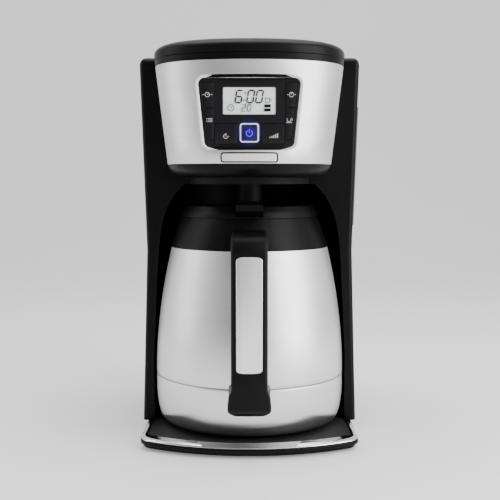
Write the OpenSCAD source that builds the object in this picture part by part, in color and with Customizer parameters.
// Drip coffee maker with a thermal carafe. Millimetres, +Z up, front towards -Y.
// The origin is at the middle of the footprint, on the surface the feet stand on.
// Every Y below is measured from the carafe's axis, and place() moves it into the frame.

/* [Overall] */
// Height of the whole machine, to the crest of the top lid
machine_h = 338; // [330:1:360]
// Height of the tower's shoulders beside the lid
tower_h = 332; // [320:1:350]
// Width of the tower at its top
tower_top_w = 194; // [190:1:220]
// Width of the tower at its waist
tower_waist_w = 183; // [180:1:215]
// Width of the tower where it stands on the base
tower_foot_w = 192; // [186:1:220]
// Height of the waist, where the tower is narrowest
waist_z = 162; // [120:1:190]
// Distance from the carafe's axis forward to the front of its handle
handle_reach = 128; // [122:1:150]
// Distance from the carafe's axis back to the rear cover
back_reach = 145; // [142:1:180]
// Distance from the carafe's axis forward to the tower's front face
tower_front = 12; // [8:1:18]
// Wall of the moulded housings
wall = 3; // [2:0.5:4]

/* [Base] */
// Width of the base
base_w = 183; // [178:1:200]
// Distance from the carafe's axis forward to the front of the base
base_front = 103; // [100:1:120]
// Radius of the curved front edge of the base
base_front_r = 174; // [150:1:260]
// Radius of the front corners of the base
base_corner_r = 14; // [10:1:20]
// Height of the deck that the tower stands on
base_top = 8; // [8:0.5:12]
// Height that the feet stand out below the base
foot_h = 2; // [1:0.5:4]
// Radius of a foot
foot_r = 9; // [6:1:12]
// Width of the black edge left outside the bright trim
trim_in = 1.2; // [0.5:0.1:1.5]
// Width of the bright trim at the front
trim_front_w = 8.8; // [6:0.2:10]
// Width of the bright trim at the sides
trim_side_w = 3.3; // [2.5:0.1:4]
// Height of the trim's inner edge above the deck
trim_h = 3; // [2.5:0.5:3.5]
// Thickness of the mat that the carafe stands on
mat_t = 1; // [1:0.1:1.4]

/* [Carafe bay] */
// Radius of the round bay behind the carafe
bay_r = 88; // [87:0.5:90]
// Height of the bay's ceiling
bay_top = 221; // [218:1:232]
// Wall of the bay
bay_wall = 2.5; // [2:0.5:4]
// Gap at each side between the carafe and the opening in the tower
bay_gap = 1.6; // [1.5:0.1:3]

/* [Head] */
// Height of the head's underside
head_bottom = 226.5; // [224:0.5:236]
// Height of the head's rim under the lid
head_top = 324.4; // [318:0.2:330]
// Half width of the head at the fascia's top edge
head_half_top = 79.5; // [76:0.5:84]
// Half width of the head at the fascia's bottom edge
head_half_low = 69.5; // [66:0.5:75]
// Distance from the carafe's axis forward to the front of the head
head_front = 98; // [94:1:112]
// Depth of the head's rounded front
head_round = 62; // [54:1:70]
// Squareness of the head's rounded front, where 2 is an ellipse
head_power = 2.3; // [2:0.1:3]
// Height of the fascia's bottom edge
fascia_low = 237.4; // [236:0.2:244]
// Height of the fascia's top edge
fascia_top = 319.3; // [312:0.2:322]
// Thickness of the steel fascia
fascia_t = 1.2; // [0.8:0.1:1.5]

/* [Control panel] */
// Distance from the carafe's axis forward to the panel's face
panel_face = 92; // [90:0.5:94]
// Height of the panel's lower edge
panel_low = 250.5; // [248:0.5:254]
// Height of the panel's upper edge
panel_top = 305.1; // [300:0.5:310]
// Half width of the panel's upper edge
panel_half_top = 41.1; // [40:0.1:44]
// Half width of the panel's lower edge
panel_half_low = 35.4; // [35:0.1:38]
// Thickness of the panel's face
panel_t = 2; // [1.5:0.1:2.5]
// Width of the display window
lcd_w = 42.2; // [38:0.2:44]
// Height of the display window
lcd_h = 21.7; // [18:0.2:23]
// Height of the display's lower edge
lcd_z = 276.3; // [274:0.1:279]
// Side of the square power key with its ring
power_w = 15.9; // [14:0.1:17]
// Width of the lit ring round the power key
ring_w = 1.4; // [1:0.1:2]
// Travel of each key
key_travel = 0.8; // [0.5:0.1:1]
// Gap round each key
key_gap = 0.3; // [0.2:0.05:0.5]

/* [Carafe] */
// Largest radius of the carafe
belly_r = 84; // [78:0.5:85]
// Height of that largest radius above the carafe's bottom
belly_up = 47.7; // [40:1:60]
// Height of the collar's lower edge above the carafe's bottom
collar_up = 156; // [145:1:160]
// Height of the seam under the lid above the carafe's bottom
neck_up = 182.6; // [175:0.2:186]
// Radius of the collar's lower edge
collar_r = 69.9; // [66:0.1:74]
// Radius of the seam under the lid
neck_r = 60.5; // [58:0.5:64]
// Radius of the flat that the carafe stands on
stand_r = 64; // [56:1:70]
// Height of the seam round the lower body above the carafe's bottom
seam_up = 43; // [30:1:60]
// Wall of the steel shell, the cup and the liner
steel_t = 1; // [0.8:0.1:1.2]
// Space between the steel shell and the liner
vacuum_gap = 5; // [3:0.5:8]
// Inner radius of the liner's neck
mouth_r = 49.5; // [46:0.5:51]
// Height of the carafe's lid above the collar
lid_up = 11; // [8:0.5:12]
// Width of the handle
handle_w = 28.6; // [24:0.2:32]
// Width of the handle's foot
handle_foot_w = 34.4; // [30:0.2:36]
// Thickness of the grip from front to back
grip_t = 19; // [16:1:22]
// Width of the thumb lever
lever_w = 22.4; // [18:0.2:25]

/* [Lid and hinges] */
// Gap between the top lid and what it closes on
lid_gap = 0.3; // [0.3:0.1:0.8]
// Wall of the top lid
lid_wall = 2.5; // [2:0.1:3]
// Radius of the lid's hinge pins
hinge_pin_r = 2; // [1.5:0.1:2.5]
// Radius of the thumb lever's pin
lever_pin_r = 1.5; // [1.2:0.1:2]
// Radial clearance of a running fit
running = 0.05; // [0.03:0.01:0.08]

/* [Brewing] */
// Outer radius of the basket's holder
holder_r = 54; // [50:1:57]
// Wall of the holder, the basket and the tank
thin = 2; // [1.6:0.2:2.6]
// Outer radius of the drip stop
drip_r = 11; // [9:0.5:12]
// Gap between the drip stop and the carafe's lid
drip_gap = 2.5; // [2.2:0.1:3]
// Travel of the drip stop
drip_travel = 3; // [2:0.5:3]
// Outer radius of the water hoses
hose_r = 4; // [3:0.5:5]

/* [Hidden] */
$fn = 64;
eps = 0.5;

// Colours
black = [0.09, 0.09, 0.10];
soft_black = [0.14, 0.14, 0.15];
steel = [0.78, 0.79, 0.80];
bright = [0.90, 0.90, 0.91];
rubber_grey = [0.20, 0.20, 0.21];
board_green = [0.12, 0.35, 0.20];
white_plastic = [0.90, 0.90, 0.88];
hose_white = [0.85, 0.86, 0.84];

// The frame: the carafe's axis stands this far from the middle of the footprint
axis_y = (handle_reach - back_reach) / 2;
module place() { translate([0, axis_y, 0]) children(); }

// Heights of the carafe, from the mat it stands on upwards
mat_top = base_top + mat_t;
carafe_low = mat_top + 0.3;
belly_z = carafe_low + belly_up;
seam_body_z = carafe_low + seam_up;
collar_z = carafe_low + collar_up;
neck_z = carafe_low + neck_up;
carafe_lid_low = neck_z + 0.3;
carafe_lid_top = neck_z + lid_up;

// Outlines
function arc(c, r, a0, a1, n, from = 0) =
    [for (i = [from:n]) let (a = a0 + (a1 - a0) * i / n) [c[0] + r * cos(a), c[1] + r * sin(a)]];
function flip(p) = [for (i = [len(p) - 1:-1:0]) [-p[i][0], p[i][1]]];
function both(p) = concat(p, flip(p));
function lerp(a, b, t) = a + (b - a) * t;

// Solid through a stack of rings, each with the same number of points,
// running anticlockwise as seen from above
module loft(rings) {
    n = len(rings[0]);
    m = len(rings);
    points = [for (ring = rings) for (p = ring) p];
    bottom = [[for (i = [0:n - 1]) i]];
    top = [[for (i = [n - 1:-1:0]) (m - 1) * n + i]];
    sides = [for (k = [0:m - 2]) for (i = [0:n - 1]) let (j = (i + 1) % n, lo = k * n, hi = lo + n)
        for (t = [[lo + i, hi + i, hi + j], [lo + i, hi + j, lo + j]]) t];
    polyhedron(points = points, faces = concat(bottom, top, sides), convexity = 8);
}

// A prism standing on a plan outline, one seen from the front and one seen from the right
module rise(points, z0, z1) {
    translate([0, 0, z0]) linear_extrude(height = z1 - z0, convexity = 6) polygon(points);
}
module front_prism(points, y0, y1) {
    translate([0, y1, 0]) rotate([90, 0, 0]) linear_extrude(height = y1 - y0, convexity = 6)
        polygon(points);
}
module side_prism(points, x0, x1) {
    translate([x0, 0, 0]) rotate([90, 0, 90]) linear_extrude(height = x1 - x0, convexity = 6)
        polygon(points);
}
module box(lo, hi) { translate(lo) cube(hi - lo); }
module rod_x(x0, x1, y, z, r) {
    translate([x0, y, z]) rotate([0, 90, 0]) cylinder(r = r, h = x1 - x0);
}
module rod_y(y0, y1, x, z, r) {
    translate([x, y0, z]) rotate([-90, 0, 0]) cylinder(r = r, h = y1 - y0);
}
module rod_z(z0, z1, x, y, r) { translate([x, y, z0]) cylinder(r = r, h = z1 - z0); }
module ring_z(z0, z1, inner, outer) {
    difference() {
        rod_z(z0, z1, 0, 0, outer);
        rod_z(z0 - eps, z1 + eps, 0, 0, inner);
    }
}

// A route for a hose, a cable or a wire: each corner rounded, the headings along it,
// and a side vector that is carried along it without twisting
function unit(v) = v / norm(v);
function rounded(p, r, n = 4) = concat([p[0]], [for (i = [1:len(p) - 2])
    let (a = p[i] + r * unit(p[i - 1] - p[i]), b = p[i] + r * unit(p[i + 1] - p[i]))
    for (k = [0:n]) let (t = k / n) (1 - t) * (1 - t) * a + 2 * t * (1 - t) * p[i] + t * t * b],
    [p[len(p) - 1]]);
function headings(p) =
    [for (i = [0:len(p) - 1]) unit(p[min(i + 1, len(p) - 1)] - p[max(i - 1, 0)])];
function carried(h, u, i = 0) = i == len(h) ? [] :
    let (v = unit(u - (u * h[i]) * h[i])) concat([v], carried(h, v, i + 1));
module sweep(path, r, sides) {
    h = headings(path);
    u = carried(h, abs(h[0][2]) < 0.9 ? [0, 0, 1] : [1, 0, 0]);
    loft([for (k = [0:len(path) - 1]) let (v = cross(h[k], u[k]))
        [for (i = [0:sides - 1]) let (a = 360 * i / sides) path[k] + r * (cos(a) * u[k] + sin(a) * v)]]);
}

function round_rect(w, h, r, n = 4) = concat(
    arc([w / 2 - r, -h / 2 + r], r, -90, 0, n), arc([w / 2 - r, h / 2 - r], r, 0, 90, n),
    arc([-w / 2 + r, h / 2 - r], r, 90, 180, n), arc([-w / 2 + r, -h / 2 + r], r, 180, 270, n));
function shift(p, d) = [for (q = p) q + d];

// Base ----------------------------------------------------------------------
base_low = foot_h;
base_plate_t = 2;
base_wall = 2.5;
deck_t = 2;
base_rear_r = 20;
base_cy = -base_front + base_front_r;
foot_x = base_w / 2 - 22;
foot_front_y = -base_front + 34;
foot_rear_y = back_reach - 24;
foot_places = [for (x = [-foot_x, foot_x]) for (y = [foot_front_y, foot_rear_y]) [x, y]];
base_screw_places = [for (x = [-foot_x, foot_x]) for (y = [foot_front_y + 22, foot_rear_y - 22]) [x, y]];
foot_peg_r = 3;
screw_r = 2;
screw_head_r = 3.5;

// The curved front edge and corner of the base, from its middle to its side,
// drawn in by one amount at the sides and another at the front
function front_edge(side, front) =
    let (w = base_w / 2 - side, big = base_front_r - front, r = base_corner_r - side,
         cx = w - r, cy = base_cy - sqrt(pow(big - r, 2) - cx * cx), a = atan2(cy - base_cy, cx))
    concat(arc([0, base_cy], big, -90, a, 8, 1), arc([cx, cy], r, a, 0, 6, 1));
function base_plan(d) =
    let (w = base_w / 2 - d, r = base_rear_r - d)
    both(concat(front_edge(d, d), arc([w - r, back_reach - d - r], r, 0, 90, 6)));
skirt_in = 2.5;
skirt_top = base_top - 3;

module base_shell() {
    color(black) place() difference() {
        union() {
            rise(base_plan(0), skirt_top, base_top);
            rise(base_plan(skirt_in), base_low, skirt_top);
        }
        rise(base_plan(skirt_in + base_wall), base_low - eps, base_top - deck_t);
    }
}

trim_end = -tower_front - 14;
trim_side = trim_in + trim_side_w;
trim_front = trim_in + trim_front_w;
module base_trim() {
    outer_half = concat(front_edge(trim_in, trim_in), [[base_w / 2 - trim_in, trim_end]]);
    inner_half = concat(front_edge(trim_side, trim_front), [[base_w / 2 - trim_side, trim_end]]);
    outer = concat(flip(outer_half), outer_half);
    inner = concat(flip(inner_half), inner_half);
    n = len(outer);
    points = concat(
        [for (p = outer) [p[0], p[1], base_top]], [for (p = outer) [p[0], p[1], base_top + 1]],
        [for (p = inner) [p[0], p[1], base_top + trim_h]], [for (p = inner) [p[0], p[1], base_top]]);
    strips = [for (k = [0:3]) for (i = [0:n - 2]) let (lo = k * n, hi = ((k + 1) % 4) * n)
        for (t = [[lo + i, hi + i, hi + i + 1], [lo + i, hi + i + 1, lo + i + 1]]) t];
    ends = [[0, 3 * n, 2 * n, n], [n - 1, 2 * n - 1, 3 * n - 1, 4 * n - 1]];
    color(bright) place() polyhedron(points = points, faces = concat(strips, ends), convexity = 6);
}

module base_plate() {
    d = skirt_in + base_wall;
    color(soft_black) place() difference() {
        rise(base_plan(d), base_low, base_low + base_plate_t);
        for (p = foot_places) rod_z(base_low - eps, base_top, p[0], p[1], foot_peg_r);
        for (p = base_screw_places) {
            rod_z(base_low - eps, base_top, p[0], p[1], screw_r);
            rod_z(base_low - eps, base_low + 1, p[0], p[1], screw_head_r);
        }
    }
}

module rubber_feet() {
    color(rubber_grey) place() for (p = foot_places) {
        rod_z(0, base_low, p[0], p[1], foot_r);
        rod_z(base_low, base_low + base_plate_t + 1, p[0], p[1], foot_peg_r);
    }
}

module base_screws() {
    color(steel) place() for (p = base_screw_places) {
        rod_z(base_low, base_low + 1, p[0], p[1], screw_head_r);
        rod_z(base_low + 1, base_top - deck_t, p[0], p[1], screw_r);
    }
}

module carafe_rest() {
    gap = 0.4;
    half = carafe_slot_half() - gap;
    front_half = concat(front_edge(trim_side + gap, trim_front + gap),
        [[base_w / 2 - trim_side - gap, trim_end], [half, trim_end], [half, 0]]);
    color(soft_black) place() union() {
        rise(both(front_half), base_top, mat_top);
        rod_z(base_top, mat_top, 0, 0, half);
    }
}

// Tower ---------------------------------------------------------------------
seam_z = tower_h - 10;
shoulder_r = 7;
tower_front_r = 4;
tower_rear_r = 24;
rear_seam = back_reach - 27;

function tower_half(z) = z < waist_z
    ? lerp(tower_foot_w, tower_waist_w, (z - base_top) / (waist_z - base_top)) / 2
    : lerp(tower_waist_w, tower_top_w, (z - waist_z) / (tower_h - waist_z)) / 2;
// The tower's plan at one height, drawn in by d
function tower_ring(z, d) =
    let (w = tower_half(z) - d, rf = max(tower_front_r - d, 1), rr = tower_rear_r - d,
         half = concat(arc([w - rf, -tower_front + d + rf], rf, -90, 0, 4),
                       arc([w - rr, back_reach - d - rr], rr, 0, 90, 7)))
    [for (p = both(half)) [p[0], p[1], z]];
module tower_solid(d, z0, z1) {
    loft([tower_ring(z0, d), tower_ring(waist_z, d), tower_ring(z1, d)]);
}
// Half of the carafe at height z, and of the opening that it slides out through
function carafe_half(z) = z < collar_z ? body_r(z) : z < carafe_lid_top ? collar_r : 0;
function carafe_slot_half() = belly_r + bay_gap;
// The opening is straight up to the carafe's belly, then leans in and turns over to the bay's ceiling
bay_lean = 7.5;
bay_turn = 20.5;
bay_arch_low = belly_z + 12;
bay_mouth = let (w = carafe_slot_half(), n = 16) concat([[w, base_top - eps]],
    [for (i = [0:n]) let (t = i / n, z = lerp(bay_arch_low, bay_top, t))
        [max(w - bay_lean * t - bay_turn * pow(t, 8), carafe_half(z) + bay_gap), z]]);
head_floor = 3;
head_mouth = [[head_half(head_bottom + head_floor) - fascia_t - lid_wall, head_bottom + head_floor],
    [head_half(seam_z) - fascia_t - lid_wall, seam_z + eps]];

module tower_shell() {
    ceiling = bay_top + wall;
    color(black) place() difference() {
        union() {
            difference() {
                tower_solid(0, base_top, seam_z);
                difference() {
                    tower_solid(wall, base_top - eps, seam_z + eps);
                    rod_z(base_top - 1, ceiling, 0, 0, bay_r + bay_wall);
                }
            }
            for (x = tank_rib_x) box([x, bay_r - 20, ceiling - eps], [x + wall, bay_r - 6, tank_step_z]);
        }
        intersection() {
            rod_z(base_top - 1, bay_top, 0, 0, bay_r);
            box([-bay_r, -tower_front + wall, 0], [bay_r, bay_r, bay_top]);
        }
        front_prism(both(bay_mouth), -tower_front - eps, 0);
        front_prism(both(head_mouth), -tower_front - eps, 0);
        rod_z(bay_top - eps, head_bottom + head_floor + eps, 0, 0, holder_r);
        box([-110, rear_seam, 0], [110, back_reach + eps, seam_z + eps]);
        window_slot();
    }
}

cover_screw_places = [for (x = [-70, 70]) for (z = [22, 306]) [x, z]];
gland_x = -58;
gland_z = 26;
gland_r = 6;
gland_bore_r = 3.6;
module rear_cover() {
    color(black) place() difference() {
        intersection() {
            tower_solid(0, base_top, seam_z);
            box([-110, rear_seam, 0], [110, back_reach + eps, seam_z + eps]);
        }
        tower_solid(wall, base_top - eps, seam_z + eps);
        rod_y(back_reach - 10, back_reach + eps, gland_x, gland_z, gland_r);
        for (p = cover_screw_places) rod_y(back_reach - 10, back_reach + eps, p[0], p[1], screw_r);
        for (i = [0:7]) box([-24 + i * 14 - 2, back_reach - 6, 44], [-24 + i * 14 + 2, back_reach + eps, 66]);
    }
}

module rear_cover_screws() {
    color(steel) place() for (p = cover_screw_places) {
        rod_y(tank_back + 0.4, back_reach - 0.4, p[0], p[1], screw_r);
    }
}

lid_half = head_half(head_top) + 0.4;
rim_half = lid_half + 0.8;
lid_rear = back_reach - 28.5;
rim_rear = lid_rear + 3.5;
hinge_y = lid_rear - 4.5;
hinge_z = head_top + 4.6;
module tower_top_rim() {
    steps = [for (a = [0:15:90]) [tower_h - shoulder_r + shoulder_r * sin(a), shoulder_r * (1 - cos(a))]];
    color(black) place() difference() {
        loft(concat([tower_ring(seam_z, 0)], [for (s = steps) tower_ring(s[0], s[1])]));
        box([-rim_half, -tower_front - eps, seam_z - eps], [rim_half, rim_rear, tower_h + eps]);
        rod_x(-rim_half - 5, rim_half + 5, hinge_y, hinge_z, hinge_pin_r);
    }
}

// Water ---------------------------------------------------------------------
tank_top = head_top - 6.4;
tank_step_z = bay_top + 17;
tank_low_z = 70;
tank_back = back_reach - wall - 1;
tank_front = holder_r + 11;
tank_low_front = bay_r + bay_wall + 2.5;
// The tank lowers into the tower, so the tower's narrowest height sets its width
tank_half = min([for (z = [base_top, tank_low_z, waist_z, tank_top]) tower_half(z)]) - 5.5;
tank_low_left = -tank_half + 10;
tank_low_right = tank_half - 30;
tank_rear_r = tower_rear_r - wall - 1;
tank_rib_x = [-33, 30];
window_y = -tower_front + 12;
window_half = 5;
window_low = waist_z + 21;
window_top = tower_h - 42;
window_proud = 1.2;
arm_inner = tank_half - 8;
arm_front = -tower_front + wall + 0.5;
arm_outer = min(tower_half(tank_step_z), tower_half(tank_top)) - wall - 0.4;
outlet_x = -40;
outlet_y = tank_low_front + 22;

// The plan of the tank between two sides and from a front, with rounded rear corners, drawn in by d
function tank_plan(left, right, front, d) = let (r = tank_rear_r - d) concat(
    [[left + d, front + d], [right - d, front + d]],
    arc([right - d - r, tank_back - d - r], r, 0, 90, 6),
    arc([left + d + r, tank_back - d - r], r, 90, 180, 6));
module tank_body(d, top) {
    rise(tank_plan(-tank_half, tank_half, tank_front, d), tank_step_z + d, top);
    rise(tank_plan(tank_low_left, tank_low_right, tank_low_front, d), tank_low_z + d,
        tank_step_z + 2 * d + eps);
    box([arm_inner + d, arm_front + d, tank_step_z + d], [arm_outer - d, tank_front + 2 * d + eps, top]);
}
module water_tank() {
    color(white_plastic) place() difference() {
        tank_body(0, tank_top);
        tank_body(thin, tank_top + eps);
        rod_z(tank_low_z - eps, tank_low_z + thin + eps, outlet_x, outlet_y, hose_r);
    }
}

module window_slot() {
    box([tank_half - 6, window_y - 3, tank_step_z + 3], [tower_top_w / 2 + 3, window_y + 3, window_top - 4]);
    window_plate(0);
}
module window_plate(proud) {
    front_prism([
        [tower_half(window_low) - 1, window_low], [tower_half(window_low) + proud, window_low + proud],
        [tower_half(window_top) + proud, window_top - proud], [tower_half(window_top) - 1, window_top]],
        window_y - window_half, window_y + window_half);
}
module water_window() { color([0.55, 0.58, 0.60]) place() window_plate(window_proud); }

valve_low = tank_low_z - 14;
module check_valve() {
    color(white_plastic) place() difference() {
        union() {
            rod_z(valve_low, tank_low_z, outlet_x, outlet_y, hose_r + 3);
            rod_z(tank_low_z, tank_low_z + thin + 3, outlet_x, outlet_y, hose_r);
        }
        rod_z(valve_low - eps, tank_low_z + thin + 4, outlet_x, outlet_y, hose_r - 1.2);
    }
}

boiler_y = outlet_y;
boiler_low = base_top + 8;
boiler_top = boiler_low + 22;
boiler_half = 52;
boiler_deep = 13;
nipple_h = 5;
module cold_hose() {
    color(hose_white) place() rod_z(boiler_top + nipple_h, valve_low, outlet_x, outlet_y, hose_r);
}
module boiler() {
    leg = 8;
    color([0.66, 0.67, 0.69]) place() difference() {
        union() {
            box([-boiler_half, boiler_y - boiler_deep, boiler_low],
                [boiler_half, boiler_y + boiler_deep, boiler_top]);
            for (x = [outlet_x, -outlet_x]) rod_z(boiler_top, boiler_top + nipple_h, x, boiler_y, hose_r);
            for (x = [-boiler_half, boiler_half - leg])
                box([x, boiler_y - boiler_deep, base_top], [x + leg, boiler_y + boiler_deep, boiler_low]);
        }
        rod_x(-boiler_half - eps, boiler_half + eps, boiler_y, boiler_low + 7, heater_r);
        rod_x(outlet_x, -outlet_x, boiler_y, boiler_top - 5, hose_r - 1.2);
        for (x = [outlet_x, -outlet_x])
            rod_z(boiler_top - 5, boiler_top + nipple_h + eps, x, boiler_y, hose_r - 1.2);
    }
}
heater_r = 4;
module heating_element() {
    color([0.45, 0.42, 0.40]) place() union() {
        rod_x(-boiler_half - 8, boiler_half + 8, boiler_y, boiler_low + 7, heater_r);
        rod_x(-boiler_half - 14, boiler_half + 14, boiler_y, boiler_low + 7, heater_r / 2);
    }
}
module thermostat() {
    color(white_plastic) place() union() {
        rod_z(boiler_top, boiler_top + 6, 0, boiler_y, 8);
        for (x = [-4, 3]) box([x, boiler_y - 3, boiler_top + 6], [x + 1, boiler_y + 3, boiler_top + 12]);
    }
}

riser_x = tank_low_right + hose_r + 4;
riser_y = tank_low_front + 8;
riser_bend_z = bay_top + wall + hose_r + 1.5;
riser_up_y = tank_front - hose_r - 4;
nozzle_low = head_top - 18;
module riser_tube() {
    low = boiler_top + nipple_h;
    color(hose_white) place() sweep(rounded([
        [-outlet_x, boiler_y, low], [-outlet_x, boiler_y, low + 12], [riser_x, riser_y, low + 12],
        [riser_x, riser_y, riser_bend_z], [riser_x, riser_up_y, riser_bend_z],
        [riser_x, riser_up_y, nozzle_low]], 2 * hose_r), hose_r, 16);
}
nozzle_top = head_top - 2.4;
module riser_nozzle() {
    color(white_plastic) place() difference() {
        union() {
            rod_z(nozzle_low, nozzle_top, riser_x, riser_up_y, hose_r + 1);
            rod_z(nozzle_low, nozzle_low + 2, riser_x, riser_up_y, hose_r + 3);
        }
        rod_z(nozzle_low - eps, nozzle_top + eps, riser_x, riser_up_y, hose_r - 1.2);
    }
}

// Electrics -----------------------------------------------------------------
board_x = -tank_half - 2;
module power_board() {
    t = 1.6;
    color(board_green) place() union() {
        box([board_x, 62, base_top + 8], [board_x + t, 118, base_top + 66]);
        box([board_x + t, 68, base_top + 14], [board_x + 14, 86, base_top + 34]);
        box([board_x + t, 90, base_top + 16], [board_x + 11, 108, base_top + 30]);
        rod_x(board_x + t, board_x + 13, 74, base_top + 48, 5);
        rod_x(board_x + t, board_x + 13, 90, base_top + 48, 5);
    }
}
cable_r = 2;
cable_x = -tank_half + 5;
cable_z = bay_top + wall + cable_r + 1;
cable_head_z = fascia_low + 8;
module control_cable() {
    start_z = base_top + 56;
    color([0.75, 0.75, 0.72]) place() sweep(rounded([
        [board_x + 1.6, 104, start_z], [cable_x, 104, start_z], [cable_x, 104, cable_z],
        [cable_x, tank_front - 6, cable_z], [-holder_r - 9, 8, cable_head_z],
        [-holder_r - 5, -tower_front - 2, cable_head_z + 2],
        [-30, -board_front + 10, panel_low + 14], [-30, -board_front + board_t, panel_low + 14]],
        4), cable_r, 8);
}
module cord_gland() {
    y1 = back_reach;
    y0 = back_reach - 8.5;
    color(black) place() difference() {
        union() {
            rod_y(y0, y1, gland_x, gland_z, gland_r);
            rod_y(y0, back_reach - wall, gland_x, gland_z, gland_r + 2.5);
        }
        rod_y(y0 - eps, y1 + eps, gland_x, gland_z, gland_bore_r);
    }
}

// Head ----------------------------------------------------------------------
function head_half(z) =
    lerp(head_half_low, head_half_top, (z - fascia_low) / (fascia_top - fascia_low));
head_start = -head_front + head_round;
round_steps = 36;
// The head's plan at one height, drawn in by d, and closed at the Y given as rear
function head_ring(z, d, half, rear) =
    let (w = half - d, b = head_round - d, e = 2 / head_power)
    concat([[-w, rear, z]],
        [for (i = [0:round_steps]) let (a = -90 + 180 * i / round_steps, s = sin(a), c = cos(a))
            [w * sign(s) * pow(abs(s), e), head_start - b * pow(max(c, 0), e), z]],
        [[w, rear, z]]);
module head_solid(levels, rear = -tower_front) {
    loft([for (l = levels) head_ring(l[0], l[1], head_half(l[0]), rear)]);
}
head_wall = 2.5;
bowl_r = 17;
bowl = [for (a = [0:15:90]) [lerp(fascia_low, head_bottom, cos(a)), bowl_r * (1 - sin(a))]];
module head_shell() {
    inner = fascia_t + head_wall;
    color(black) place() difference() {
        head_solid(concat(bowl, [[head_top, 0]]));
        difference() {
            head_solid([[fascia_low, -1], [fascia_top, -1]], -tower_front + eps);
            head_solid([[fascia_low - 1, fascia_t], [fascia_top + 1, fascia_t]], -tower_front + 2 * eps);
        }
        head_solid([[head_bottom + head_floor, bowl_r + 1], [fascia_low + 1, inner], [head_top + eps, inner]],
            -tower_front + eps);
        rod_z(head_bottom - 5, head_bottom + 10, 0, 0, holder_r);
        panel_prism(0.1);
    }
}

module fascia() {
    color(steel) place() difference() {
        head_solid([[fascia_low, 0], [fascia_top, 0]]);
        head_solid([[fascia_low - eps, fascia_t], [fascia_top + eps, fascia_t]], -tower_front + eps);
        panel_prism(0.1);
    }
}

badge_w = 45.8;
badge_h = 8.3;
badge_z = fascia_low + 4.9;
badge_t = 0.8;
module badge() {
    color(black) place() intersection() {
        difference() {
            head_solid([[fascia_low, -badge_t], [fascia_top, -badge_t]]);
            head_solid([[fascia_low - eps, 0], [fascia_top + eps, 0]], -tower_front + eps);
        }
        front_prism(shift(round_rect(badge_w, badge_h, 2.4), [0, badge_z]), -head_front - 3, -head_start);
    }
}

holder_low = bay_top;
holder_top = holder_low + 83;
plate_t = 3;
flange_z = holder_low + plate_t + 0.3;
flange_t = 1.6;
spring_seat = flange_z + flange_t + drip_travel + 5;
drip_bore = drip_r + 0.4;
module basket_holder() {
    color(soft_black) place() difference() {
        union() {
            ring_z(holder_low, holder_top, holder_r - thin, holder_r);
            rod_z(holder_low, holder_low + plate_t, 0, 0, holder_r);
            ring_z(holder_top - 3, holder_top, holder_r - thin, holder_r + 3);
            ring_z(spring_seat, spring_seat + 2, 4, drip_r + 2);
            for (a = [0, 90, 180, 270]) rotate([0, 0, a])
                box([drip_r + 1, -1.5, spring_seat], [holder_r - 1, 1.5, spring_seat + 2]);
        }
        rod_z(holder_low - eps, holder_low + plate_t + eps, 0, 0, drip_bore);
    }
}

basket_low = spring_seat + 3;
basket_top = holder_top + 2;
basket_foot_r = 24;
basket_r = holder_r - thin - 2;
module brew_basket() {
    color(soft_black) place() rotate_extrude($fn = 96) polygon([
        [6, basket_low], [basket_foot_r, basket_low], [basket_r, holder_top - 6],
        [basket_r, holder_top], [holder_r + 1, holder_top], [holder_r + 1, basket_top],
        [basket_r - thin, basket_top], [basket_r - thin, holder_top - 5.5],
        [basket_foot_r - 1, basket_low + thin], [6, basket_low + thin]]);
}

drip_low = carafe_lid_top + drip_gap;
module drip_stop_valve() {
    color(black) place() difference() {
        union() {
            rod_z(drip_low, flange_z + flange_t, 0, 0, drip_r);
            rod_z(flange_z, flange_z + flange_t, 0, 0, drip_r + 2);
            rod_z(flange_z, basket_low + 3, 0, 0, 3);
        }
        rod_z(drip_low - eps, flange_z - 2, 0, 0, drip_r - thin);
        for (a = [45, 135, 225, 315])
            rod_z(flange_z - 3, flange_z + flange_t + eps, 6 * cos(a), 6 * sin(a), 1.5);
    }
}

module drip_stop_spring() {
    wire = 0.7;
    r = drip_r - 1.5;
    turns = 4;
    per_turn = 16;
    n = turns * per_turn;
    z0 = flange_z + flange_t + wire + 0.1;
    z1 = spring_seat - wire - 0.1;
    color(steel) place() sweep([for (k = [0:n]) let (a = 360 * k / per_turn)
        [r * cos(a), r * sin(a), lerp(z0, z1, k / n)]], wire, 8);
}

// Control panel ---------------------------------------------------------------
panel_deep = 8;
board_front = panel_face - panel_deep;
board_t = 1.6;
panel_r = 5.5;
function panel_half(z) =
    lerp(panel_half_low, panel_half_top, (z - panel_low) / (panel_top - panel_low));
slope = atan2(panel_half_top - panel_half_low, panel_top - panel_low);
// The panel's rounded outline, grown by d
function panel_outline(d) =
    let (r = panel_r + d, c = panel_r / cos(slope),
         low = panel_half(panel_low + panel_r) - c, high = panel_half(panel_top - panel_r) - c)
    both(concat(arc([low, panel_low + panel_r], r, -90, -slope, 5),
        arc([high, panel_top - panel_r], r, -slope, 90, 5)));
module panel_prism(d) { front_prism(panel_outline(d), -head_front - 5, -board_front); }

// Where each key lies: x and z ranges, from the seams between the keys
key_seam_x = 28;
key_seam_z = lcd_z + 5.3;
key_low = panel_low + 2.2;
key_top = panel_top - 3;
row_top = lcd_z - 6.8;
power_z = panel_low + 11.4;
auto_inner = power_w / 2 + 1.6;
// A key at the panel's slanted right edge, between two heights
function edge_key(z0, z1) = [[key_seam_x, z0], [panel_half(z0) - 2.4, z0],
    [panel_half(z1) - 2.4, z1], [key_seam_x, z1]];
function mirrored(p, side) = [for (q = p) [side * q[0], q[1]]];
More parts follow.
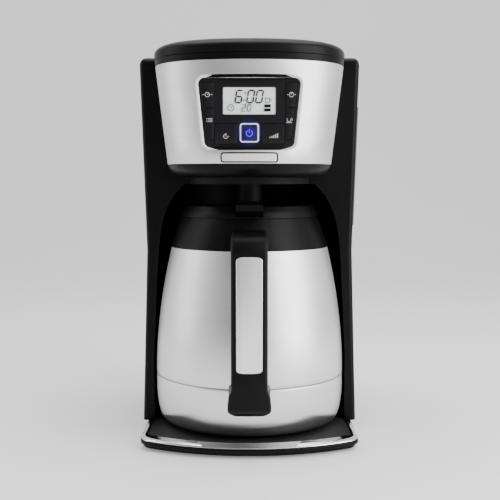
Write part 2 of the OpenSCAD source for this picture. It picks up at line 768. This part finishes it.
// Draws a four-sided outline in by d
function drawn_in(p, d) =
    [p[0] + [d, d], p[1] + [-d, d], p[2] + [-d, -d], p[3] + [d, -d]];
upper_key = edge_key(key_seam_z, key_top);
lower_key = edge_key(key_low + 4, key_seam_z);
row_key = [[auto_inner, key_low], [key_seam_x, key_low], [key_seam_x, row_top], [auto_inner, row_top]];

module key(outline, side) {
    middle = (outline[0] + outline[2]) / 2;
    stem_end = -board_front - switch_h - key_travel - 0.1;
    union() {
        front_prism(mirrored(drawn_in(outline, key_gap), side), -panel_face, -panel_face + panel_t);
        rod_y(-panel_face + panel_t, stem_end, side * middle[0], middle[1], 1.5);
    }
}
module panel_cut(outline, side) {
    front_prism(mirrored(outline, side), -panel_face - eps, -panel_face + panel_t + eps);
}
power_outline = shift(round_rect(power_w, power_w, 2.4), [0, power_z]);
lcd_outline = shift(round_rect(lcd_w, lcd_h, 1), [0, lcd_z + lcd_h / 2]);

module control_panel() {
    rim = 1.6;
    color(black) place() difference() {
        front_prism(panel_outline(0), -panel_face, -board_front);
        front_prism(panel_outline(-rim), -panel_face + panel_t, -board_front + eps);
        front_prism(lcd_outline, -panel_face - eps, -panel_face + panel_t + eps);
        front_prism(power_outline, -panel_face - eps, -panel_face + panel_t + eps);
        for (side = [-1, 1]) {
            panel_cut(upper_key, side);
            panel_cut(lower_key, side);
            panel_cut(row_key, side);
        }
    }
}
module lcd_lens() {
    color([0.75, 0.80, 0.78]) place()
        front_prism(lcd_outline, -panel_face, -panel_face + panel_t);
}
module lcd_module() {
    color([0.60, 0.66, 0.62]) place()
        box([-lcd_w / 2 - 1, -panel_face + panel_t, lcd_z - 1],
            [lcd_w / 2 + 1, -board_front, lcd_z + lcd_h + 1]);
}
module control_board() {
    color(board_green) place() difference() {
        front_prism(panel_outline(-0.2), -board_front, -board_front + board_t);
        for (x = [-20, 20]) rod_y(-board_front - eps, -board_front + board_t + eps, x, panel_low + 4, 1.5);
    }
}
switch_h = 2;
switch_w = 5;
function key_middle(p, side) = let (m = (p[0] + p[2]) / 2) [side * m[0], m[1]];
switch_places = concat([[0, power_z]],
    [for (side = [-1, 1]) for (p = [upper_key, lower_key, row_key]) key_middle(p, side)]);
module key_switches() {
    color([0.25, 0.25, 0.27]) place() for (p = switch_places)
        box([p[0] - switch_w / 2, -board_front - switch_h, p[1] - switch_w / 2],
            [p[0] + switch_w / 2, -board_front, p[1] + switch_w / 2]);
}
module light_ring() {
    inner = power_w - 2 * ring_w;
    color([0.80, 0.82, 0.98]) place() difference() {
        front_prism(power_outline, -panel_face, -panel_face + panel_t);
        front_prism(shift(round_rect(inner, inner, 1.4), [0, power_z]),
            -panel_face - eps, -panel_face + panel_t + eps);
    }
}
module power_key() {
    side = power_w - 2 * ring_w - 2 * key_gap;
    stem_end = -board_front - switch_h - key_travel - 0.1;
    color([0.15, 0.25, 0.95]) place() union() {
        front_prism(shift(round_rect(side, side, 1.2), [0, power_z]), -panel_face, -panel_face + panel_t);
        rod_y(-panel_face + panel_t, stem_end, 0, power_z, 1.5);
    }
}
module auto_key() { color(black) place() key(row_key, -1); }
module strong_key() { color(black) place() key(row_key, 1); }
module program_key() { color(black) place() key(lower_key, -1); }
module cup_key() { color(black) place() key(lower_key, 1); }
module hour_key() { color(black) place() key(upper_key, -1); }
module minute_key() { color(black) place() key(upper_key, 1); }

// Top lid -------------------------------------------------------------------
lid_low = head_top + lid_gap;
lid_levels = [[0, 0], [0.25, 0], [0.52, 1.4], [0.76, 4.4], [0.92, 10], [1, 24]];
module lid_solid(d, low) {
    h = machine_h - lid_low;
    loft([for (l = lid_levels) let (z = max(lid_low + l[0] * h - d, low))
        head_ring(l[0] == 0 ? low : z, l[1] + d, lid_half, lid_rear - l[1] - d)]);
}
boss_r = 4.2;
boss_in = lid_half - 6;
module top_lid() {
    color(black) place() difference() {
        union() {
            difference() {
                lid_solid(0, lid_low);
                lid_solid(lid_wall, lid_low - eps);
            }
            for (side = [-1, 1])
                rod_x(side < 0 ? -lid_half + 0.5 : boss_in, side < 0 ? -boss_in : lid_half - 0.5,
                    hinge_y, hinge_z, boss_r);
        }
        rod_x(-lid_half - 1, lid_half + 1, hinge_y, hinge_z, hinge_pin_r + running);
    }
}
module lid_hinge_pins() {
    color(steel) place() for (side = [-1, 1])
        rod_x(side < 0 ? -rim_half - 5 : boss_in - 1, side < 0 ? -boss_in + 1 : rim_half + 5,
            hinge_y, hinge_z, hinge_pin_r);
}

shower_low = basket_top + 4;
shower_r = 40;
lid_roof = machine_h - lid_wall;
module shower_head() {
    arm_low = lid_low + 0.3;
    arm_top = arm_low + 5;
    reach = norm([riser_x, riser_up_y]);
    turn = atan2(riser_up_y, riser_x);
    color(white_plastic) place() difference() {
        union() {
            rod_z(shower_low, shower_low + 2.5, 0, 0, shower_r);
            rod_z(shower_low, lid_roof, 0, 0, 7);
            rotate([0, 0, turn]) box([0, -5, arm_low], [reach, 5, arm_top]);
            rod_z(nozzle_top + 0.4, arm_top, riser_x, riser_up_y, hose_r + 4);
        }
        for (r = [16, 28]) for (a = [0:45:315])
            rod_z(shower_low - eps, shower_low + 3, r * cos(a), r * sin(a), 1.5);
        rotate([0, 0, turn]) box([2, -3, arm_low + 1.5], [reach, 3, arm_top - 1.2]);
        rod_z(nozzle_top - eps, arm_top - 1.5, riser_x, riser_up_y, hose_r);
        rod_z(shower_low - eps, arm_top - 1.5, 0, 0, 4);
    }
}

// Carafe --------------------------------------------------------------------
heel_z = carafe_low + 4.5;
heel_drop = 4.5;
// Radius of the steel body at height z
function body_r(z) = z < belly_z
    ? belly_r - heel_drop * pow((belly_z - z) / (belly_z - heel_z), 4)
    : belly_r - (belly_r - collar_r) * pow((z - belly_z) / (collar_z - belly_z), 1.85);
function body_curve(z0, z1, n, d = 0) = [for (i = [0:n]) let (z = lerp(z0, z1, i / n)) [body_r(z) - d, z]];
function back(p) = [for (i = [len(p) - 1:-1:0]) p[i]];
module turned(points) { rotate_extrude($fn = 128) polygon(points); }

function shell_curve(d) = body_curve(seam_body_z + 0.2, collar_z, 10, d);
function cup_curve(d) = body_curve(heel_z, seam_body_z, 7, d);
module carafe_shell() {
    color(steel) place() turned(concat(shell_curve(0), back(shell_curve(steel_t))));
}
module carafe_base_cup() {
    heel = heel_z - carafe_low;
    color(steel) place() turned(concat(
        [[0, carafe_low], [stand_r, carafe_low], [belly_r - heel_drop - 2, carafe_low + heel * 0.35]],
        cup_curve(0), back(cup_curve(steel_t)),
        [[belly_r - heel_drop - 3, heel_z - 1], [stand_r, carafe_low + 2 * steel_t],
         [0, carafe_low + 2 * steel_t]]));
}
mouth_top = neck_z - 1.5;
liner_low = carafe_low + 7;
module carafe_liner() {
    d = vacuum_gap + steel_t;
    shoulder = collar_z - 8;
    outer = concat([[0, liner_low], [stand_r, liner_low]], body_curve(liner_low + 10, shoulder - 12, 8, d),
        [[mouth_r + steel_t + 1, shoulder + 10], [mouth_r + steel_t, shoulder + 14],
         [mouth_r + steel_t, mouth_top]]);
    inner = concat([[0, liner_low + steel_t], [stand_r, liner_low + steel_t]],
        body_curve(liner_low + 10 + steel_t, shoulder - 12, 8, d + steel_t),
        [[mouth_r + 1, shoulder + 10 - steel_t], [mouth_r, shoulder + 14], [mouth_r, mouth_top]]);
    color(steel) place() turned(concat(outer, back(inner)));
}
collar_in = mouth_r + steel_t;
module carafe_collar() {
    spout_half = 15;
    spout_out = neck_r + 11;
    color(black) place() difference() {
        union() {
            turned([[collar_in, collar_z + 6.5], [collar_r - 3, collar_z], [collar_r, collar_z],
                [collar_r - 1.2, collar_z + 6], [neck_r + 3.6, neck_z - 8], [neck_r + 0.6, neck_z - 1.2],
                [neck_r, neck_z], [collar_in, neck_z]]);
            rise([[-spout_half, neck_r - 8], [spout_half, neck_r - 8], [spout_half - 6, spout_out - 3],
                [5, spout_out], [-5, spout_out], [6 - spout_half, spout_out - 3]], neck_z - 14, neck_z);
        }
        rise([[-9, collar_in - 2], [9, collar_in - 2], [3.5, spout_out + 1], [-3.5, spout_out + 1]],
            neck_z - 5, neck_z + eps);
        rod_z(collar_z - 1, neck_z + eps, 0, 0, collar_in);
        rod_y(-collar_r, -collar_in + 2, 0, screw_high_z, screw_r);
    }
}

// Handle: a side outline cut to a front outline, fitted to the carafe's own curve
handle_low = carafe_low + 28;
handle_top = neck_z - 9;
grip_back = -handle_reach + grip_t;
screw_high_z = neck_z - 14;
screw_low_z = handle_low + 11;
insert_half = 10.3;
insert_low = handle_low + 38;
insert_top = handle_top - 17;
insert_t = 1.4;
handle_side = concat(
    [[-collar_r + 12, handle_top]], arc([-handle_reach + 16, handle_top - 16], 16, 90, 180, 5),
    [[-handle_reach, handle_low + 22], [-handle_reach + 4, handle_low + 8],
     [-handle_reach + 15, handle_low + 1], [-belly_r + 4, handle_low],
     [-belly_r + 4, handle_low + 20], [grip_back + 12, handle_low + 21]],
    arc([grip_back + 12, handle_low + 33], 12, 270, 180, 4),
    arc([grip_back + 14, handle_top - 34], 14, 180, 90, 4), [[-collar_r + 2, handle_top - 20]]);
foot_chamfer = 4.4;
handle_front = both([
    [handle_foot_w / 2 - foot_chamfer, handle_low], [handle_foot_w / 2, handle_low + foot_chamfer],
    [handle_foot_w / 2, handle_low + 17], [handle_w / 2, handle_low + 25], [handle_w / 2, handle_top - 4],
    [handle_w / 2 - 4, handle_top]]);
module handle_insert_shape(d, y0, y1) {
    r = insert_half * 1.25;
    intersection() {
        front_prism([[-insert_half + d, insert_low], [insert_half - d, insert_low],
            [insert_half - d, insert_top], [-insert_half + d, insert_top]], y0, y1);
        rod_y(y0, y1, 0, insert_top - r - d, r);
    }
    intersection() {
        front_prism([[-insert_half + d, insert_low], [insert_half - d, insert_low],
            [insert_half - d, insert_top], [-insert_half + d, insert_top]], y0, y1);
        rod_y(y0, y1, 0, insert_low + r + d, r);
    }
    front_prism([[-insert_half + d, insert_low + r], [insert_half - d, insert_low + r],
        [insert_half - d, insert_top - r], [-insert_half + d, insert_top - r]], y0, y1);
}
module carafe_handle() {
    color(black) place() difference() {
        intersection() {
            side_prism(handle_side, -handle_foot_w / 2 - 1, handle_foot_w / 2 + 1);
            front_prism(handle_front, -handle_reach - 1, 0);
        }
        turned(concat([[0, carafe_low]], cup_curve(0), shell_curve(0),
            [[collar_r - 1.2, collar_z + 6], [neck_r + 3.6, neck_z - 8], [neck_r + 0.6, neck_z - 1.2],
             [neck_r, neck_z], [0, neck_z]]));
        handle_insert_shape(0, -handle_reach - eps, -handle_reach + insert_t);
        rod_y(-collar_r - 10, -collar_in, 0, screw_high_z, screw_r);
        rod_y(-belly_r - 12, -belly_r + 5, 0, screw_low_z, screw_r);
    }
}
module handle_insert() {
    color(steel) place() handle_insert_shape(0.15, -handle_reach + 0.1, -handle_reach + insert_t);
}
module handle_screws() {
    color(steel) place() union() {
        rod_y(-collar_r - 10, -collar_in - 2, 0, screw_high_z, screw_r);
        rod_y(-belly_r - 12, -body_r(screw_low_z) - 0.1, 0, screw_low_z, screw_r);
    }
}

// Carafe lid ------------------------------------------------------------------
plug_r = mouth_r - 2.3;
plug_low = neck_z - 20;
lever_pin_y = -46;
lever_pin_z = carafe_lid_top - 2.5;
valve_y = -28;
valve_r = 9;
lever_gap = 0.5;
lever_tip = -neck_r - 11.5;
module carafe_lid() {
    edge = neck_r - 1;
    slot = lever_w / 2 + lever_gap;
    color(black) place() difference() {
        turned([[0, plug_low], [plug_r, plug_low], [plug_r, carafe_lid_low], [edge + 1, carafe_lid_low],
            [edge + 1, carafe_lid_low + 3], [edge - 3, carafe_lid_top - 1], [edge - 5, carafe_lid_top],
            [0, carafe_lid_top]]);
        // the top falls away towards the spout, so that it passes under the drip stop
        translate([-80, 5, carafe_lid_top]) rotate([-5, 0, 0]) cube([160, 90, 20]);
        box([-slot, -edge - 5, carafe_lid_top - 7], [slot, valve_y + 6, carafe_lid_top + 1]);
        box([-slot, -edge - 5, carafe_lid_top - 9.4], [slot, lever_pin_y, carafe_lid_top - 6]);
        rod_z(carafe_lid_top - 4, carafe_lid_top + 1, 0, 0, 16);
        rod_z(plug_low - 1, carafe_lid_top, 0, 0, 4);
        rod_z(plug_low + 3, carafe_lid_top - 9, 0, valve_y, valve_r + 1);
        rod_z(plug_low - 1, plug_low + 4, 0, valve_y, 6);
        rod_z(carafe_lid_top - 10, carafe_lid_top, 0, valve_y, 3);
        rod_x(-slot - 5, slot + 5, lever_pin_y, lever_pin_z, lever_pin_r);
        ring_z(plug_low + 4, plug_low + 7, plug_r - 2, plug_r + 1);
    }
}
module lid_seal() {
    color([0.75, 0.75, 0.73]) place() ring_z(plug_low + 4, plug_low + 7, plug_r - 2, mouth_r - 0.3);
}
module lever_pin() {
    slot = lever_w / 2 + lever_gap;
    color(steel) place() rod_x(-slot - 5, slot + 5, lever_pin_y, lever_pin_z, lever_pin_r);
}
module thumb_lever() {
    low = carafe_lid_top - 6;
    color(black) place() difference() {
        side_prism([[lever_tip, low + 2], [lever_tip + 3, low], [lever_pin_y - 2, low],
            [lever_pin_y + 4, low + 1.2], [valve_y - 3.6, low + 1.2], [valve_y - 3.6, low + 4],
            [lever_pin_y + 6, low + 6.5], [lever_pin_y - 4, low + 9], [lever_tip + 6, low + 10],
            [lever_tip, low + 7]], -lever_w / 2, lever_w / 2);
        rod_x(-lever_w, lever_w, lever_pin_y, lever_pin_z, lever_pin_r + running);
    }
}
module pour_valve() {
    color(white_plastic) place() union() {
        rod_z(plug_low + 3.3, plug_low + 6, 0, valve_y, valve_r);
        rod_z(plug_low + 3.3, carafe_lid_top - 3, 0, valve_y, 2.6);
    }
}

base_shell();
base_trim();
base_plate();
rubber_feet();
base_screws();
carafe_rest();
tower_shell();
rear_cover();
rear_cover_screws();
tower_top_rim();
water_tank();
water_window();
check_valve();
cold_hose();
boiler();
heating_element();
thermostat();
riser_tube();
riser_nozzle();
power_board();
control_cable();
cord_gland();
head_shell();
fascia();
badge();
basket_holder();
brew_basket();
drip_stop_valve();
drip_stop_spring();
control_panel();
lcd_lens();
lcd_module();
control_board();
key_switches();
light_ring();
power_key();
auto_key();
strong_key();
program_key();
cup_key();
hour_key();
minute_key();
top_lid();
shower_head();
lid_hinge_pins();
carafe_shell();
carafe_base_cup();
carafe_liner();
carafe_collar();
carafe_handle();
handle_insert();
handle_screws();
carafe_lid();
lid_seal();
lever_pin();
thumb_lever();
pour_valve();
